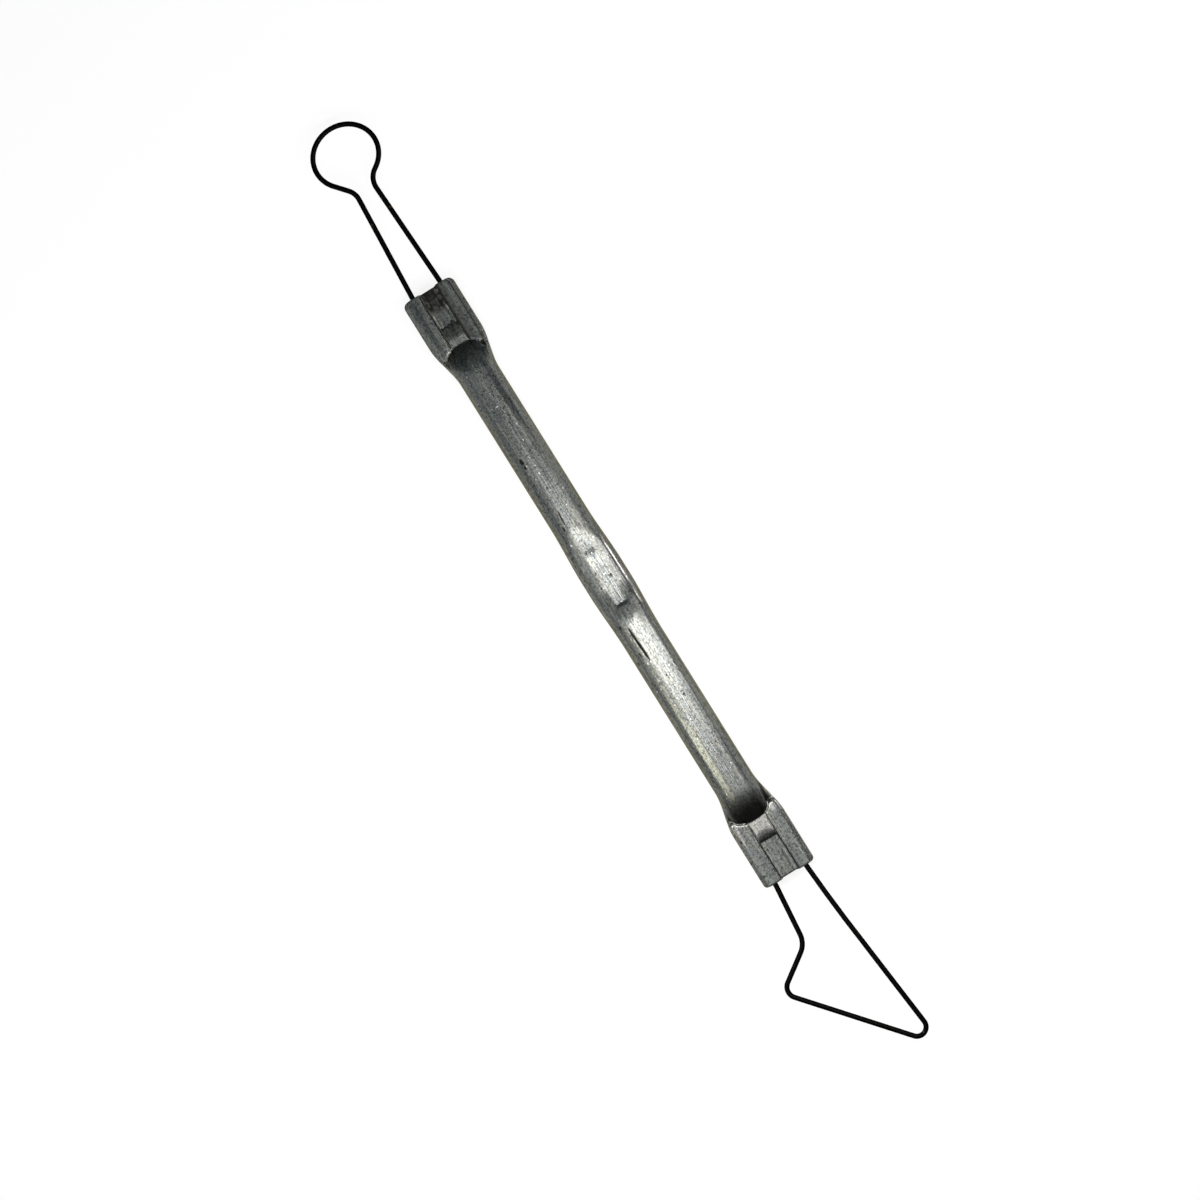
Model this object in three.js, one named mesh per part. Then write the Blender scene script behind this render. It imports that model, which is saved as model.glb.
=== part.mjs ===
// A double-ended wire trimming tool for pottery. One aluminium tube is the handle, and each of its
// ends is flattened over the two legs of a bent spring wire loop: a round loop at one end, and a
// three-cornered loop at the other. Millimetres, Z up. X runs along the handle towards the
// three-cornered loop. The origin is in the middle of the small flat under the struck panel, on
// which the tool rests.
import * as THREE from "three";

// The tube, five sixteenths of an inch in diameter, and its two lengths from the panel's middle.
const tubeDiameter = 7.94;
const tubeWall = 0.89;
const roundSideLength = 63.35;
const angledSideLength = 65.25;

// The spring wire of both loops, and the room that the flattened tube leaves around it.
const wireDiameter = 1.0;
const wireClearance = 0.05;

// The crimps. The crease is where the round tube drops to the flattened end, and it bows: its
// sides lie further from the mouth than its middle.
const crimpWidth = 10.8;
const crimpLength = 12.2;
const creaseBow = 2.2;
const scoopLength = 6.1;
const scoopSteepness = 2.2;
const flareLead = 7.6;
const flareRun = 1.0;
const ridgeEdgeRadius = 0.7;
const mouthCornerRadius = 0.7;
const mouthEdgeDrop = 0.1;

// The valley between the two ridges of a crimp, with the shoulder that its punch leaves on top.
const valleyWidth = 4.04;
const valleySlant = 0.15;
const valleyRecess = 0.2;
const valleyPinch = 0.1;
const valleyWeb = 0.35;
const shoulderDistance = 8.0;
const shoulderRun = 1.9;
const shoulderHeight = 0.35;

// The struck panel in the middle, and the flat that the anvil leaves under it. The panel's face is
// still a little crowned, because the die is hollow.
const panelLength = 15.0;
const panelRamp = 3.4;
const panelDrop = 0.85;
const panelWidth = 8.73;
const panelCrown = 6.5;
const anvilFlatWidth = 4.6;

// The round loop. Its reach and its offset are those of the wire's centre line. The two legs lean
// together from the crimp to the neck, where they turn out into the loop.
const loopReach = 35.1;
const loopLength = 11.58;
const loopWidth = 12.74;
const loopOffset = 0.49;
const loopLegInset = 2.34;
const loopNearLean = 2.25;
const loopFarLean = 3.59;
const loopNearShoulder = 34.2;
const loopFarShoulder = 51.8;
const loopNearBend = 3.6;
const loopFarBend = 3.29;

// The three-cornered loop, given by its corners before they are rounded: how far each reaches
// from the crimp's mouth, and how far it lies to one side of the handle's middle.
const bowReach = 9.3;
const bowSide = 4.0;
const bowBend = 168;
const toeReach = 42.05;
const toeSide = 7.27;
const toeBend = 1.76;
const heelReach = 18.3;
const heelSide = -13.14;
const heelBend = 2.07;
const neckReach = 12.4;
const neckSide = -4.65;
const neckBend = 4.26;
const angledLegInset = 2.0;

// The legs stop a little short of where the crimp begins to widen into the tube, and they ease out
// of its mouth with a slight bend.
const legEndRoom = 0.2;
const legMouthBend = 12;
const endRunShare = 0.95;
const sharedRunShare = 0.48;

// How finely the curves are cut.
const wireSides = 12;
const bendStep = THREE.MathUtils.degToRad(18);
const loopSteps = 34;
const edgeSteps = 3;
const ridgeSteps = 3;
const valleySteps = 3;
const mouthSteps = 3;
const shoulderSteps = 4;
const transitionSteps = 12;
const panelSteps = 4;

const tubeRadius = tubeDiameter / 2;
const wireRadius = wireDiameter / 2;
const crimpSide = crimpWidth / 2;
const channelHalfHeight = wireRadius + wireClearance;
const ridgeHalfHeight = channelHalfHeight + tubeWall;
const valleyHalfHeight = valleyPinch / 2 + tubeWall;
const roundLegSide = crimpSide - loopLegInset;
const angledLegSide = crimpSide - angledLegInset;
const legEnd = legEndRoom + flareRun - crimpLength;

const { clamp, degToRad, lerp, smoothstep } = THREE.MathUtils;

// A quarter of a flattened end's outline, from its side to the middle of its valley: a rounded
// outer edge, the ridge's flat top, the slanting wall of the valley and the valley's floor.
function crimpQuarter({ side, edgeRadius, ridge, valleySide, valley }) {
  const points = [new THREE.Vector2(side, 0)];
  for (let i = 0; i <= edgeSteps; i++) {
    const angle = (i / edgeSteps) * (Math.PI / 2);
    const y = side - edgeRadius * (1 - Math.cos(angle));
    const z = ridge - edgeRadius * (1 - Math.sin(angle));
    points.push(new THREE.Vector2(y, z));
  }
  for (let i = 1; i <= ridgeSteps; i++) {
    const y = lerp(side - edgeRadius, valleySide + valleySlant, i / ridgeSteps);
    points.push(new THREE.Vector2(y, ridge));
  }
  for (let i = 0; i <= valleySteps; i++) {
    points.push(new THREE.Vector2(valleySide * (1 - i / valleySteps), valley));
  }
  return points;
}

// The same number of points on a quarter circle, spread as they are spread along a crimp's
// outline, so that each point of the tube has its own point on the flattened end.
function tubeQuarter(radius, outline) {
  const lengths = [0];
  for (let i = 1; i < outline.length; i++) {
    lengths.push(lengths[i - 1] + outline[i].distanceTo(outline[i - 1]));
  }
  return lengths.map((length) => {
    const angle = (length / lengths.at(-1)) * (Math.PI / 2);
    return new THREE.Vector2(radius * Math.cos(angle), radius * Math.sin(angle));
  });
}

// A whole ring from its quarter: up the first side to the top, and on round by mirroring.
function wholeRing(quarter) {
  const last = quarter.length - 1;
  const ring = [];
  for (let i = 0; i < last; i++) ring.push([quarter[i].x, quarter[i].y]);
  for (let i = last; i > 0; i--) ring.push([-quarter[i].x, quarter[i].y]);
  for (let i = 0; i < last; i++) ring.push([-quarter[i].x, -quarter[i].y]);
  for (let i = last; i > 0; i--) ring.push([quarter[i].x, -quarter[i].y]);
  return ring;
}

// One skin of the handle: its outline as a tube and as a crimp, and how far it lies inside the
// outer face.
function makeSkin(inset, outline) {
  return {
    inset,
    crimp: wholeRing(outline),
    tube: wholeRing(tubeQuarter(tubeRadius - inset, outline)),
  };
}

const outerSkin = makeSkin(
  0,
  crimpQuarter({
    side: crimpSide,
    edgeRadius: ridgeEdgeRadius,
    ridge: ridgeHalfHeight,
    valleySide: valleyWidth / 2,
    valley: valleyHalfHeight,
  }),
);

// The inner skin closes in round the wire's legs, in a channel under each ridge.
function innerSkin(legSide) {
  const channelRoom = wireRadius + wireClearance;
  const channelEdge = Math.min(valleyWidth / 2 + valleyWeb, legSide - channelRoom);
  return makeSkin(
    tubeWall,
    crimpQuarter({
      side: legSide + channelRoom,
      edgeRadius: channelHalfHeight / 2,
      ridge: channelHalfHeight,
      valleySide: channelEdge - valleySlant,
      valley: valleyPinch / 2,
    }),
  );
}

// The distances from a crimp's mouth at which its outline is drawn: close together round the
// mouth's corner, down the shoulder and over the drop from the tube.
function endDistances() {
  const distances = [crimpLength - flareRun];
  for (let i = 0; i <= mouthSteps; i++) {
    const angle = (i / mouthSteps) * (Math.PI / 2);
    distances.push(mouthCornerRadius * (1 - Math.cos(angle)));
  }
  for (let i = 0; i <= shoulderSteps; i++) {
    distances.push(shoulderDistance + (shoulderRun * i) / shoulderSteps);
  }
  for (let i = 0; i <= transitionSteps; i++) {
    distances.push(crimpLength + (flareLead * i) / transitionSteps);
  }
  return distances.sort((a, b) => a - b);
}

// What the press has done to the tube at a distance from the mouth: how far the crease's bow is
// carried over, how far the tube is flattened and spread, how high the valley's floor stands
// before the shoulder, and what the mouth's rounded corner and edge take off.
function pressAt(distance) {
  const drop = clamp(1 - (distance - crimpLength) / scoopLength, 0, 1);
  const fall = clamp((shoulderDistance + shoulderRun - distance) / shoulderRun, 0, 1);
  const short = Math.max(mouthCornerRadius - distance, 0);
  return {
    bow: distance < crimpLength ? 0 : drop,
    flat: drop ** scoopSteepness,
    spread: 1 - smoothstep(distance, crimpLength - flareRun, crimpLength + flareLead),
    lift: shoulderHeight * (1 - fall ** 2),
    cornerCut: mouthCornerRadius - Math.sqrt(mouthCornerRadius ** 2 - short ** 2),
    edgeDrop: distance === 0 ? mouthEdgeDrop : 0,
    recess: distance === 0 ? valleyRecess : 0,
  };
}

// One outline of a crimp or of its run out into the tube, in the handle's own frame.
function endRing(skin, distance, mouth, outward) {
  const press = pressAt(distance);
  return skin.crimp.map(([crimpY, crimpZ], i) => {
    const [tubeY, tubeZ] = skin.tube[i];
    const across = Math.abs(crimpY) / crimpSide;
    const inValley = Math.abs(crimpY) < (valleyWidth + valleySlant) / 2;
    let inwards = distance + creaseBow * press.bow * across ** 2;
    let y = lerp(tubeY, crimpY, press.spread);
    let height = crimpZ;
    if (inValley) inwards += press.recess;
    if (skin === outerSkin) {
      const edgeReach = crimpSide - Math.abs(y) - ridgeEdgeRadius;
      const nearSide = clamp(1 - edgeReach / (2 * mouthCornerRadius), 0, 1);
      y -= Math.sign(y) * nearSide * press.cornerCut;
      height -= Math.sign(height) * press.edgeDrop;
      if (inValley && height > 0) height += press.lift;
    }
    return new THREE.Vector3(mouth - outward * inwards, y, lerp(tubeZ, height, press.flat));
  });
}

// The height of the die's hollow face above the tube's axis, at a place across the tube.
function dieHeight(y) {
  const crown = panelCrown - Math.sqrt(Math.max(panelCrown ** 2 - y ** 2, 0));
  return tubeRadius - panelDrop - crown;
}

// One outline of the struck panel. The strike flattens the top, spreads the sides and presses a
// small flat under the tube, level with the tube's lowest line.
function panelRing(skin, x) {
  const strength = 1 - smoothstep(Math.abs(x), panelLength / 2, panelLength / 2 + panelRamp);
  const spread = lerp(1, panelWidth / tubeDiameter, strength);
  const flatShare = anvilFlatWidth / (spread * tubeDiameter);
  const press = lerp(1, 1 / Math.sqrt(1 - flatShare ** 2), strength);
  return skin.tube.map(([y, z]) => {
    const highest = lerp(tubeRadius, dieHeight(y * spread), strength) - skin.inset;
    const lowest = skin.inset - tubeRadius;
    return new THREE.Vector3(x, y * spread, clamp(z < 0 ? z * press : z, lowest, highest));
  });
}

// Where the panel's outlines are drawn, from one side to the other.
function panelPlaces() {
  const places = [0];
  for (let i = 0; i <= panelSteps; i++) {
    const place = panelLength / 2 + (panelRamp * i) / panelSteps;
    places.push(place);
    places.unshift(-place);
  }
  return places;
}

// All the outlines of one face of the metal, from the round loop's mouth to the angled loop's.
function skinRings(roundSkin, angledSkin, distances) {
  return [
    ...distances.map((distance) => endRing(roundSkin, distance, -roundSideLength, -1)),
    ...panelPlaces().map((x) => panelRing(roundSkin, x)),
    ...distances.map((distance) => endRing(angledSkin, distance, angledSideLength, 1)).reverse(),
  ];
}

// The handle as one closed body: the outer skin, the inner skin turned to face the bore, and a
// band of metal that joins the two at each mouth. The channels round the legs are straight, so
// the inner skin needs no outline between the mouth and the end of the crimp.
function handleGeometry() {
  const distances = endDistances();
  const innerDistances = distances.filter((d) => d === 0 || d >= crimpLength - flareRun);
  const outer = skinRings(outerSkin, outerSkin, distances);
  const inner = skinRings(innerSkin(roundLegSide), innerSkin(angledLegSide), innerDistances);
  const around = outer[0].length;
  const rings = [...outer, ...inner.reverse()];
  const positions = rings.flat().flatMap((point) => point.toArray());
  const indices = [];
  rings.forEach((ring, r) => {
    const next = (r + 1) % rings.length;
    for (let i = 0; i < around; i++) {
      const j = (i + 1) % around;
      const [a, b] = [r * around + i, r * around + j];
      const [c, d] = [next * around + i, next * around + j];
      indices.push(a, b, c, c, b, d);
    }
  });
  const geometry = new THREE.BufferGeometry();
  geometry.setAttribute("position", new THREE.Float32BufferAttribute(positions, 3));
  geometry.setIndex(indices);
  geometry.computeVertexNormals();
  return geometry;
}

// A path whose steps are its own points, so that they lie close together in the bends only.
class WirePath extends THREE.Curve {
  constructor(points) {
    super();
    this.points = points;
  }

  getPoint(t, target = new THREE.Vector3()) {
    const place = t * (this.points.length - 1);
    const before = clamp(Math.floor(place), 0, this.points.length - 2);
    return target.lerpVectors(this.points[before], this.points[before + 1], place - before);
  }

  getPointAt(u, target) {
    return this.getPoint(u, target);
  }

  getTangentAt(u, target) {
    return this.getTangent(u, target);
  }
}

// Points of a bend that rounds the corner b between a and c, and that starts no further from the
// corner than the room its straight runs leave it.
function bendPoints(a, b, c, radius, room) {
  const back = a.clone().sub(b).normalize();
  const ahead = c.clone().sub(b).normalize();
  const halfAngle = back.angleTo(ahead) / 2;
  const setback = Math.min(radius / Math.tan(halfAngle), room);
  const bend = setback * Math.tan(halfAngle);
  const start = b.clone().addScaledVector(back, setback);
  const middle = back.clone().add(ahead).normalize();
  const centre = b.clone().addScaledVector(middle, bend / Math.sin(halfAngle));
  const turn = Math.PI - 2 * halfAngle;
  const sense = Math.sign(ahead.clone().cross(back).z);
  const steps = Math.max(Math.ceil(turn / bendStep), 1);
  const points = [];
  for (let i = 0; i <= steps; i++) {
    const arm = start.clone().sub(centre);
    arm.applyAxisAngle(new THREE.Vector3(0, 0, 1), (sense * turn * i) / steps);
    points.push(centre.clone().add(arm));
  }
  return points;
}

// Straight runs through the given corners, with a bend at each inner one. A bend may take most of
// the first or last run, and nearly half of a run that it shares with another bend.
function bentPath(corners) {
  const points = corners.map(([x, y]) => new THREE.Vector3(x, y, 0));
  const last = points.length - 1;
  const path = [points[0]];
  for (let i = 1; i < last; i++) {
    const [before, corner, after] = points.slice(i - 1, i + 2);
    const roomBefore = corner.distanceTo(before) * (i === 1 ? endRunShare : sharedRunShare);
    const roomAfter = corner.distanceTo(after) * (i === last - 1 ? endRunShare : sharedRunShare);
    const room = Math.min(roomBefore, roomAfter);
    path.push(...bendPoints(before, corner, after, corners[i][2], room));
  }
  path.push(points[last]);
  return path;
}

// Round wire along a path.
function wireGeometry(path) {
  const section = new THREE.Shape();
  for (let i = 0; i < wireSides; i++) {
    const angle = (i / wireSides) * 2 * Math.PI;
    const [x, y] = [wireRadius * Math.cos(angle), wireRadius * Math.sin(angle)];
    if (i === 0) section.moveTo(x, y);
    else section.lineTo(x, y);
  }
  section.closePath();
  return new THREE.ExtrudeGeometry(section, {
    steps: path.length - 1,
    extrudePath: new WirePath(path),
  });
}

// The place on the round loop at an angle from its handle side, and the corner where the
// tangent there meets the line of a leg that leans by a slope.
function loopPlace(angle) {
  const x = loopReach - (loopLength / 2) * (1 + Math.cos(angle));
  const y = loopOffset + (loopWidth / 2) * Math.sin(angle);
  return [x, y];
}

function shoulderCorner(angle, legSide, slope) {
  const [x, y] = loopPlace(angle);
  const along = (loopLength / 2) * Math.sin(angle);
  const across = (loopWidth / 2) * Math.cos(angle);
  const share = (legSide + slope * x - y) / (across - slope * along);
  return [x + share * along, y + share * across];
}

// The round loop seen from its own crimp: out along the near leg, round the loop, and back along
// the far leg. The near leg is on the positive side.
function roundLoopPath() {
  const near = degToRad(loopNearShoulder);
  const far = 2 * Math.PI - degToRad(loopFarShoulder);
  const nearSlope = -Math.tan(degToRad(loopNearLean));
  const farSlope = Math.tan(degToRad(loopFarLean));
  const turnIn = bentPath([
    [legEnd, roundLegSide],
    [0, roundLegSide, legMouthBend],
    [...shoulderCorner(near, roundLegSide, nearSlope), loopNearBend],
    loopPlace(near),
  ]);
  const turnOut = bentPath([
    loopPlace(far),
    [...shoulderCorner(far, -roundLegSide, farSlope), loopFarBend],
    [0, -roundLegSide, legMouthBend],
    [legEnd, -roundLegSide],
  ]);
  const round = [];
  for (let i = 1; i < loopSteps; i++) {
    const [x, y] = loopPlace(lerp(near, far, i / loopSteps));
    round.push(new THREE.Vector3(x, y, 0));
  }
  return [...turnIn, ...round, ...turnOut];
}

// The three-cornered loop seen from its own crimp: the long leg, the toe, the slanting cutting
// edge to the heel, and back in at the neck.
function angledLoopPath() {
  return bentPath([
    [legEnd, angledLegSide],
    [0, angledLegSide, legMouthBend],
    [bowReach, bowSide, bowBend],
    [toeReach, toeSide, toeBend],
    [heelReach, heelSide, heelBend],
    [neckReach, neckSide, neckBend],
    [0, -angledLegSide, legMouthBend],
    [legEnd, -angledLegSide],
  ]);
}

const agedAluminium = new THREE.MeshStandardMaterial({
  color: 0x8d8f8c,
  roughness: 0.42,
  metalness: 1,
});
const roundWireSteel = new THREE.MeshStandardMaterial({
  color: 0x1d1b1a,
  roughness: 0.38,
  metalness: 0.9,
});
const angledWireSteel = roundWireSteel.clone();

const handle = new THREE.Mesh(handleGeometry(), agedAluminium);
handle.name = "handle_tube";

const roundLoop = new THREE.Mesh(wireGeometry(roundLoopPath()), roundWireSteel);
roundLoop.name = "round_loop_wire";
const roundEnd = new THREE.Group();
roundEnd.position.x = -roundSideLength;
roundEnd.rotation.y = Math.PI;
roundEnd.add(roundLoop);

const angledLoop = new THREE.Mesh(wireGeometry(angledLoopPath()), angledWireSteel);
angledLoop.name = "angled_loop_wire";
const angledEnd = new THREE.Group();
angledEnd.position.x = angledSideLength;
angledEnd.add(angledLoop);

const tool = new THREE.Group();
tool.position.z = tubeRadius;
tool.add(handle, roundEnd, angledEnd);

export default tool;
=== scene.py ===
import math

import bmesh
import bpy
from mathutils import Matrix, Vector, noise


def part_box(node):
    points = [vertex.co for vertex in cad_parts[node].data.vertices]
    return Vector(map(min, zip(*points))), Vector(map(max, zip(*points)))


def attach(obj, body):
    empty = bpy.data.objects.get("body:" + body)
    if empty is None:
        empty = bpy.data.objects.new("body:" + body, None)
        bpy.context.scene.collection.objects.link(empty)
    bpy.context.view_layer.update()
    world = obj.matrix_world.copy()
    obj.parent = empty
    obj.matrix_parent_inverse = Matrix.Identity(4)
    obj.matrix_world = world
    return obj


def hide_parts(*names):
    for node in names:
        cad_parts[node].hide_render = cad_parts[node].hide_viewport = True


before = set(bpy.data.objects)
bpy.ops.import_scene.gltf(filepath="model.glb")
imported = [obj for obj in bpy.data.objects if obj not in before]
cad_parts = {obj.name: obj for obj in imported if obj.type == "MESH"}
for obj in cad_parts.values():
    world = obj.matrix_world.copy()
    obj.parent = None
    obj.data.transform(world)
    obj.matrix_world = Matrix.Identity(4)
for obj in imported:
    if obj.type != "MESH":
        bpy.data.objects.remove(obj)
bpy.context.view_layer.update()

# The handle is one length of drawn aluminium tube. A press has flattened its two ends over the
# legs of the wire loops, which grips them by itself, and a hollow die has struck a panel into the
# top of its middle.
mm = 0.001
handle_low, handle_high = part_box("handle_tube")
wire_low, wire_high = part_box("round_loop_wire")
round_mouth, angled_mouth = handle_low.x, handle_high.x
tube_radius = (handle_high.z - handle_low.z) / 2
axis_height = (handle_high.z + handle_low.z) / 2
tube_wall = 0.89 * mm
wire_radius = (wire_high.z - wire_low.z) / 2
channel_half_height = wire_radius + 0.05 * mm

# A flattened end: the fold at each side, the ridge over each leg, and the valley between them.
crimp_side = handle_high.y
crimp_length = 12.2 * mm
fold_height = 0.72 * mm
fold_radius = 0.3 * mm
ridge_side = 4.98 * mm
ridge_edge_radius = 0.5 * mm
ridge_half_height = channel_half_height + tube_wall
valley_side = 2.02 * mm
valley_slant = 0.2 * mm
valley_edge_radius = 0.2 * mm
valley_groove = 0.02 * mm
far_wall_pull = 0.44 * mm
valley_half_height = 0.05 * mm + tube_wall
mouth_edge_radius = 0.32 * mm
mouth_recess = 0.2 * mm
recess_run = 0.8 * mm

# Behind a flattened end: the scoop that sinks into the tube, and the noses that the ridges end in.
scoop_length = 6.1 * mm
scoop_steepness = 2.2
flare_length = 8.0 * mm
crease_bow = 1.7 * mm
crease_bow_run = 4.0 * mm
nose_side = 4.1 * mm
nose_dip = 0.22 * mm
nose_dip_run = (0.4 * mm, 3 * mm)
shoulder_height = 0.35 * mm

# The struck panel: the die that sinks it, with its burr, painted shade for its end notches and a
# painted shade patch, the anvil that leaves the flat under it, and the plain field in its middle.
panel_flat = 1.5 * mm
panel_left, panel_right = 11.9 * mm, 10.3 * mm
bulge_half_length = 13.2 * mm
panel_drop = 0.85 * mm
panel_softness = 0.3 * mm
panel_crown = 6.5 * mm
panel_spread = 8.73 / 7.94
die_half_length = 7.45 * mm
die_side = 3.69 * mm
die_end_blur = 0.12 * mm
notch_length, notch_inset, notch_width = 0.15 * mm, 0.4 * mm, 0.45 * mm
# A patch of painted shade that dims the highlight on the panel's near ramp, and its size.
panel_painted_shade = (7.6 * mm, 2.4 * mm)
panel_painted_shade_size = (2.2 * mm, 0.8 * mm)
edge_start, edge_fall = 2.6 * mm, 0.3 * mm
burr_height = 0.08 * mm
burr_width = 0.13 * mm
anvil_half_width = 2.3 * mm
field_start, field_end = -4.7 * mm, 5.6 * mm
field_low, field_high = -0.35 * mm, 1.26 * mm
field_depth = 0.008 * mm
field_side_blur = 0.5 * mm
field_end_blur = 0.14 * mm
field_start_blur = 1.7 * mm
field_follow = (0.62, 0.25)

tube_facets = 208
facet_angle = 2 * math.pi / tube_facets


def clamp(value, low=0.0, high=1.0):
    return min(max(value, low), high)


def mix(a, b, share):
    return a + (b - a) * share


def smooth(value, start, end):
    """0 up to start and 1 from end, with an easy S between them."""
    share = clamp((value - start) / (end - start))
    return share * share * (3 - 2 * share)


def bell(value, width):
    """1 at nought, and down to almost nothing two widths away."""
    return math.exp(-((value / width) ** 2))


def round_off(distance, radius):
    """How far a rounded edge falls back at a distance from the face that it ends in."""
    short = max(radius - distance, 0)
    return radius - math.sqrt(radius**2 - short**2)


def soft_min(a, b, softness):
    """The lower of two heights, with the corner between them rounded."""
    share = clamp(0.5 + 0.5 * (b - a) / softness)
    return mix(b, a, share) - softness * share * (1 - share)


def arc(centre, radius, start, end, steps=6):
    """Points round a centre, from one angle to another in degrees."""
    angles = [math.radians(mix(start, end, i / steps)) for i in range(steps + 1)]
    return [(centre[0] + radius * math.cos(a), centre[1] + radius * math.sin(a)) for a in angles]


def flattened_outline():
    """A quarter of a flattened end, from the fold at its side to the middle of its valley."""
    fold_centre = (crimp_side - fold_radius, fold_height - fold_radius)
    ridge_centre = (ridge_side - ridge_edge_radius, ridge_half_height - ridge_edge_radius)
    valley_top = valley_side + valley_slant
    valley_centre = (valley_top + valley_edge_radius, ridge_half_height - valley_edge_radius)
    return [
        (crimp_side, 0),
        *arc(fold_centre, fold_radius, 0, 90),
        (ridge_side, fold_height),
        *arc(ridge_centre, ridge_edge_radius, 0, 90),
        *arc(valley_centre, valley_edge_radius, 90, 180, 3),
        (valley_side, valley_half_height),
        (valley_side - 0.1 * mm, valley_half_height - valley_groove),
        (valley_side - 0.3 * mm, valley_half_height),
        (0, valley_half_height),
    ]


def channel_outline(leg_side):
    """A quarter of the bore of a flattened end, which closes round the wire leg in it."""
    radius = channel_half_height / 2
    outer = (leg_side + channel_half_height - radius, channel_half_height - radius)
    inner = (leg_side - channel_half_height + radius, channel_half_height - radius)
    return [
        (outer[0] + radius, 0),
        *arc(outer, radius, 0, 90, 3),
        *arc(inner, radius, 90, 180, 3),
        (inner[0] - radius, 0.05 * mm),
        (0, 0.05 * mm),
    ]


def place_along(outline, share):
    """The point at a share of an outline's length."""
    left = share * sum(math.dist(a, b) for a, b in zip(outline, outline[1:]))
    for a, b in zip(outline, outline[1:]):
        length = math.dist(a, b)
        if left <= length:
            return mix(a[0], b[0], left / length), mix(a[1], b[1], left / length)
        left -= length
    return outline[-1]


def facet_points(outline):
    """Where each facet edge of the round tube lands on a flattened outline, all the way round."""
    points = []
    for facet in range(tube_facets):
        across, up = math.cos(facet * facet_angle), math.sin(facet * facet_angle)
        y, z = place_along(outline, math.asin(clamp(abs(up))) / (math.pi / 2))
        points.append((math.copysign(y, across), math.copysign(z, up)))
    return points


def places_along(start, zones):
    """Places along the handle, evenly spaced in each zone, given where it ends and its step."""
    places = []
    for end, step in zones:
        count = max(round((end - start) / step), 1)
        places += [mix(start, end, i / count) for i in range(count)]
        start = end
    return [*places, start]


def next_ring(bm, edges):
    """Extrudes a ring of edges where it is, and returns the new ring's vertices and edges."""
    made = bmesh.ops.extrude_edge_only(bm, edges=edges)["geom"]
    verts = [item for item in made if isinstance(item, bmesh.types.BMVert)]
    ring = set(verts)
    edges = [
        item
        for item in made
        if isinstance(item, bmesh.types.BMEdge) and ring.issuperset(item.verts)
    ]
    return verts, edges


def draw_tube(bm, radius, places):
    """Draws a round tube along X, ring by ring, and returns the rings with their edges."""
    upright = Matrix.Rotation(math.pi / 2, 4, "Y")
    made = bmesh.ops.create_circle(bm, radius=radius, segments=tube_facets, matrix=upright)
    verts = made["verts"]
    edges = list({edge for vert in verts for edge in vert.link_edges})
    for vert in verts:
        vert.co.x = places[0]
    rings = [(verts, edges)]
    for before, place in zip(places, places[1:]):
        verts, edges = next_ring(bm, edges)
        bmesh.ops.translate(bm, verts=verts, vec=(place - before, 0, 0))
        rings.append((verts, edges))
    return rings


# What differs between the two ends, where near is +Y. Places count from the mouth, flares from the
# crimp's length, and dirt, painted shade, rubbed metal and painted highlights go from 0 to 1. A
# pocket, in mm, is a fold by a ridge's nose, or with no depth a patch of painted shade over a nose's
# bright edge: its deep and its thin end (from the mouth, and across), half width, depth, painted
# shade.
round_end = dict(
    mouth=round_mouth, outward=-1, leg_side=3.06 * mm, corner_radius=1.25 * mm,
    shoulder=7.85 * mm, shoulder_run=2.8 * mm, ragged=0.8 * mm,
    floor_grime=0.66, clean_floor=3.4 * mm, painted_slope_shade=0.6, bright_run=1.6 * mm, plateau_rub_and_highlight=0.5,
    scoop_dirt_and_shade=0.74, scoop_shade_length=5.6 * mm, groove_grime=0.7, near_ridge_darkening=1.0,
    ridge_rub_and_highlight=0.08, nose_round=0.3 * mm,
    near_flare=(-1.7 * mm, 7.2 * mm), far_flare=(-2.4 * mm, 6.4 * mm), crease=11.9 * mm,
    pockets=[
        ((13.9, 4.05), (14.9, 4.2), 0.4, 0.45, 1.0),
        ((13.5, -4.1), (14.6, -4.25), 0.28, 0.25, 0.6),
        # These two have no depth and only paint shade over the noses' bright edges.
        ((12.7, 4.7), (11.9, 2.4), 0.7, 0.0, 0.5),
        ((13.0, -4.0), (12.3, -2.6), 0.5, 0.0, 0.45),
    ],
)
angled_end = dict(
    mouth=angled_mouth, outward=1, leg_side=3.4 * mm, corner_radius=0.85 * mm,
    shoulder=8.0 * mm, shoulder_run=2.1 * mm, ragged=0.06 * mm,
    floor_grime=0.2, clean_floor=-1.0 * mm, painted_slope_shade=0.95, bright_run=4.4 * mm, plateau_rub_and_highlight=0.56,
    scoop_dirt_and_shade=1.0, scoop_shade_length=9.0 * mm, groove_grime=0.25, near_ridge_darkening=0.08,
    ridge_rub_and_highlight=0.1, nose_round=0.55 * mm,
    near_flare=(-1.5 * mm, 8.0 * mm), far_flare=(-0.8 * mm, 8.0 * mm), crease=12.2 * mm,
    pockets=[
        ((14.4, 3.95), (17.7, 4.15), 0.5, 0.6, 1.0),
        ((14.4, -4.1), (15.9, -4.25), 0.35, 0.25, 0.6),
    ],
)


def flaw(x, y, grain, seed):
    """Smooth noise from -1 to 1 over the plan of the handle, with a grain of the given size."""
    return noise.noise(Vector((x / grain, y / grain, seed)))


def along_mark(x, y, start, end):
    """How far along a straight mark (in mm) a place lies, as a share, and how far to its side."""
    (ax, ay), (bx, by) = start, end
    length = math.hypot(bx - ax, by - ay)
    ahead, aside = x / mm - ax, y / mm - ay
    share = clamp((ahead * (bx - ax) + aside * (by - ay)) / length**2)
    return share, math.hypot(ahead - share * (bx - ax), aside - share * (by - ay))
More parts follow.
